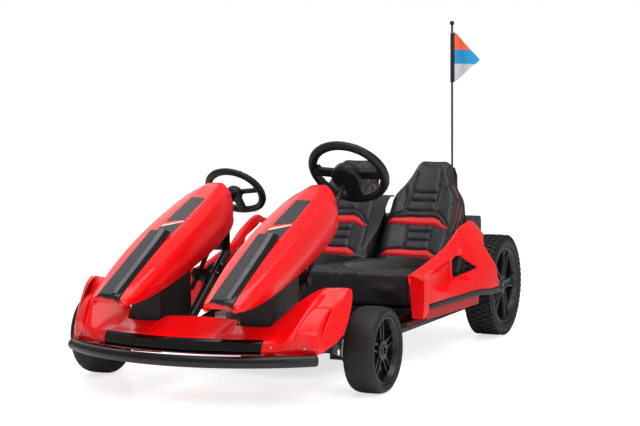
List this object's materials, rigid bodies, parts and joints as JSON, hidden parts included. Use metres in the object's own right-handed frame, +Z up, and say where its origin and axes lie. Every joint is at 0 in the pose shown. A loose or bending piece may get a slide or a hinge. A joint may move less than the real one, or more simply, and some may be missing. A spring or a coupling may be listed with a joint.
{
  "type": "two-seat electric drift kart for children",
  "caption": "Low two-seat electric ride-on kart with bowed bumper, twin wedge noses, flared side pods, reclined seats and a pennant; wheels roll and the fronts steer.",
  "frame": {"origin": "on the floor under the middle of the bounding box, midway between bumper front and rear tyre backs", "axes": "+Z up, the kart faces -Y, +X is its left-hand side, the driver's"},
  "size_m": [0.829, 1.4834, 0.916],
  "materials": {
    "red_plastic": "gloss",
    "black_plastic": "satin",
    "gloss_black": "gloss",
    "painted_steel": "satin",
    "tyre_rubber": "matt",
    "rim_plastic": "gloss",
    "leatherette": "grained",
    "webbing": "woven",
    "flag_cloth": "woven",
    "zinc_steel": "zinc plated",
    "wheel_grip": "textured",
    "motor_case": "matt"
  },
  "bodies": {
    "chassis": {"left_rail": "painted_steel", "right_rail": "painted_steel", "front_beam": "painted_steel", "cross_tubes": "painted_steel", "floor_pan": "black_plastic", "front_bumper": "painted_steel", "bumper_arms": "painted_steel", "front_fairing": "red_plastic", "fairing_trim": "gloss_black", "driver_nose": "red_plastic", "second_nose": "red_plastic", "nose_strips": "gloss_black", "nose_pedestals": "black_plastic", "driver_support": "painted_steel", "second_support": "painted_steel", "pedal": "black_plastic", "left_pod": "red_plastic", "right_pod": "red_plastic", "pod_grilles": "black_plastic", "pod_stripes": "gloss_black", "pod_sills": "red_plastic", "seat_bench": "leatherette", "seat_box": "black_plastic", "driver_seat": "leatherette", "second_seat": "leatherette", "seat_shells": "black_plastic", "lap_belts": "webbing", "rear_cover": "black_plastic", "battery": "motor_case", "motors": "motor_case", "rear_axle": "zinc_steel", "flag_mast": "painted_steel", "flag": "flag_cloth"},
    "left_knuckle": {"left_knuckle": "zinc_steel"},
    "right_knuckle": {"right_knuckle": "zinc_steel"},
    "front_left_wheel": {"front_left_tyre": "tyre_rubber", "front_left_rim": "rim_plastic"},
    "front_right_wheel": {"front_right_tyre": "tyre_rubber", "front_right_rim": "rim_plastic"},
    "rear_left_wheel": {"rear_left_tyre": "tyre_rubber", "rear_left_rim": "rim_plastic"},
    "rear_right_wheel": {"rear_right_tyre": "tyre_rubber", "rear_right_rim": "rim_plastic"},
    "tie_rod": {"tie_rod": "zinc_steel"},
    "driver_steering": {"driver_column": "zinc_steel", "driver_steering_wheel": "wheel_grip"},
    "second_steering": {"second_steering_wheel": "wheel_grip"}
  },
  "joints": [
    {"name": "steer_left", "type": "hinge", "parent": "chassis", "child": "left_knuckle", "pos_m": [0.3, -0.38925, 0.104], "axis": [0, 0, 1], "range_deg": [-22, 22]},
    {"name": "steer_right", "type": "hinge", "parent": "chassis", "child": "right_knuckle", "pos_m": [-0.3, -0.38925, 0.104], "axis": [0, 0, 1], "range_deg": [-22, 22]},
    {"name": "tie_rod_pivot", "type": "hinge", "parent": "left_knuckle", "child": "tie_rod", "pos_m": [0.3, -0.31925, 0.104], "axis": [0, 0, 1], "range_deg": [-22, 22]},
    {"name": "driver_wheel_turn", "type": "hinge", "parent": "chassis", "child": "driver_steering", "pos_m": [0.152, -0.01825, 0.503], "axis": [0, 0.7314, 0.682], "range_deg": [-30.14, 30.14]},
    {"name": "second_wheel_turn", "type": "hinge", "parent": "chassis", "child": "second_steering", "pos_m": [-0.152, -0.0753, 0.4498], "axis": [0, 0.7314, 0.682], "range_deg": [-120, 120]},
    {"name": "front_left_roll", "type": "hinge", "parent": "left_knuckle", "child": "front_left_wheel", "pos_m": [0.375, -0.38925, 0.104], "axis": [1, 0, 0], "continuous": true},
    {"name": "front_right_roll", "type": "hinge", "parent": "right_knuckle", "child": "front_right_wheel", "pos_m": [-0.375, -0.38925, 0.104], "axis": [1, 0, 0], "continuous": true},
    {"name": "rear_left_roll", "type": "hinge", "parent": "chassis", "child": "rear_left_wheel", "pos_m": [0.341, 0.59575, 0.146], "axis": [1, 0, 0], "continuous": true},
    {"name": "rear_right_roll", "type": "hinge", "parent": "chassis", "child": "rear_right_wheel", "pos_m": [-0.341, 0.59575, 0.146], "axis": [1, 0, 0], "continuous": true}
  ],
  "couplings": [
    {"joint": "steer_right", "follows": "steer_left", "ratio": 1},
    {"joint": "tie_rod_pivot", "follows": "steer_left", "ratio": -1},
    {"joint": "driver_wheel_turn", "follows": "steer_left", "ratio": 1.37}
  ]
}
